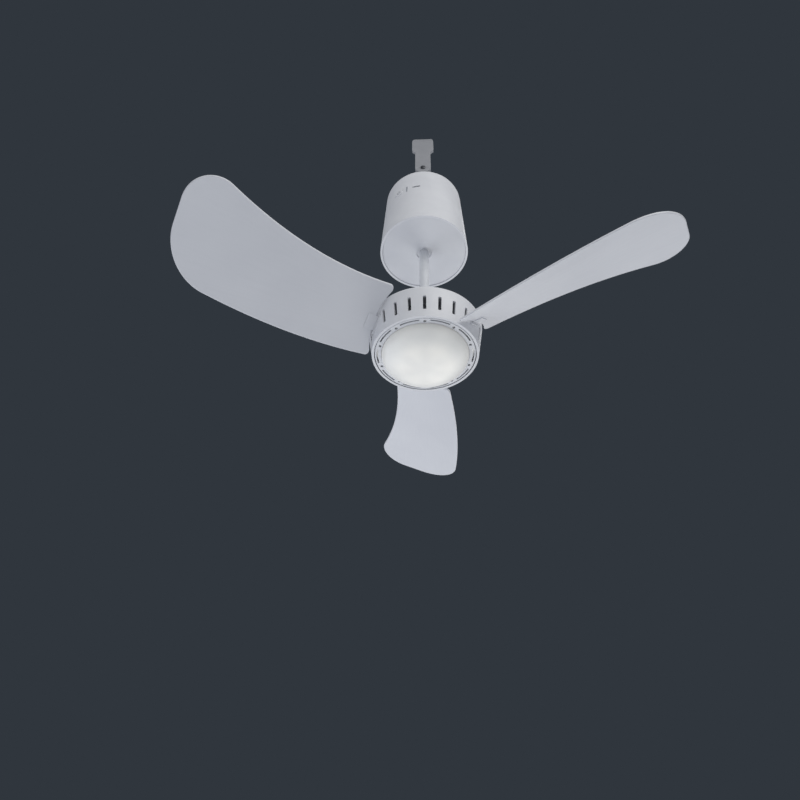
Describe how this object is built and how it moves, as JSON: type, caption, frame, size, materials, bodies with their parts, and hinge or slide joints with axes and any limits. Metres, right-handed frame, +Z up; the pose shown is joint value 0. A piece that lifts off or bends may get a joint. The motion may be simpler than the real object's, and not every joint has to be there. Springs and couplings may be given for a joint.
{
  "type": "hanging canopy fan",
  "caption": "Battery-powered fan that hangs from a folding loop on a downrod, with a slotted motor drum, pull-out swept blades and a domed light under the motor.",
  "frame": {"origin": "underside of the hanging loop's crown, where it bears on the bar or hook", "axes": "+Z up along the downrod, Y along the pins of the loop, X across the loop"},
  "size_m": [0.5798, 0.5281, 0.5045],
  "materials": {
    "satin_white": "satin",
    "blade_white": "satin",
    "white_enamel": "satin",
    "strap_grey": "satin",
    "plated_steel": "satin",
    "bearing_steel": "polished",
    "lamination": "dull",
    "copper_wire": "enamelled",
    "magnet": "dull",
    "lamp_lens": "frosted",
    "light_pipe": "frosted",
    "reflector": "satin",
    "circuit_board": "lacquered",
    "lamp_board": "white lacquer",
    "led_phosphor": "gloss",
    "dark_plastic": "matte",
    "cell_wrap": "wrapped in film"
  },
  "bodies": {
    "hanger": {"hanging_bail": "strap_grey"},
    "housing": {"hanger_bracket": "white_enamel", "pivot_pins": "plated_steel", "bracket_screws": "plated_steel", "battery_housing": "satin_white", "housing_base": "satin_white", "charging_socket": "dark_plastic", "charge_indicator": "light_pipe", "button_switch": "dark_plastic", "control_board": "circuit_board", "battery_cells": "cell_wrap", "cell_tray": "dark_plastic", "cell_cap": "dark_plastic", "downrod": "white_enamel", "rod_washer": "plated_steel", "rod_nut": "plated_steel", "rod_coupler": "white_enamel", "coupler_screws": "plated_steel", "motor_shaft": "plated_steel", "stator_core": "lamination", "stator_windings": "copper_wire", "light_pan": "reflector", "shaft_spacer": "plated_steel", "shaft_nut": "plated_steel", "led_board": "lamp_board", "leds": "led_phosphor", "light_bezel": "satin_white", "lens": "lamp_lens"},
    "power_button": {"power_button": "satin_white"},
    "rotor": {"motor_drum": "satin_white", "blade_sockets": "satin_white", "rotor_magnets": "magnet", "flux_ring": "plated_steel", "rotor_cover": "plated_steel", "upper_bearing": "bearing_steel", "lower_bearing": "bearing_steel"},
    "blade_1": {"blade_1": "blade_white"},
    "blade_2": {"blade_2": "blade_white"},
    "blade_3": {"blade_3": "blade_white"}
  },
  "joints": [
    {"name": "bail_pivot", "type": "hinge", "parent": "hanger", "child": "housing", "pos_m": [0, 0, -0.121], "axis": [0, 1, 0], "range_deg": [-85, 85]},
    {"name": "rotor_spin", "type": "hinge", "parent": "housing", "child": "rotor", "pos_m": [0, 0, -0.456], "axis": [0, 0, 1], "continuous": true},
    {"name": "power_button_press", "type": "slide", "parent": "housing", "child": "power_button", "axis": [0.6018, 0.7986, 0], "range_m": [0, 0.0015], "stiffness_N_per_m": 400},
    {"name": "blade_1_pull", "type": "slide", "parent": "rotor", "child": "blade_1", "axis": [-0.866, -0.5, 0], "range_m": [0, 0.022]},
    {"name": "blade_2_pull", "type": "slide", "parent": "rotor", "child": "blade_2", "axis": [0.866, -0.5, 0], "range_m": [0, 0.022]},
    {"name": "blade_3_pull", "type": "slide", "parent": "rotor", "child": "blade_3", "axis": [0, 1, 0], "range_m": [0, 0.022]}
  ]
}
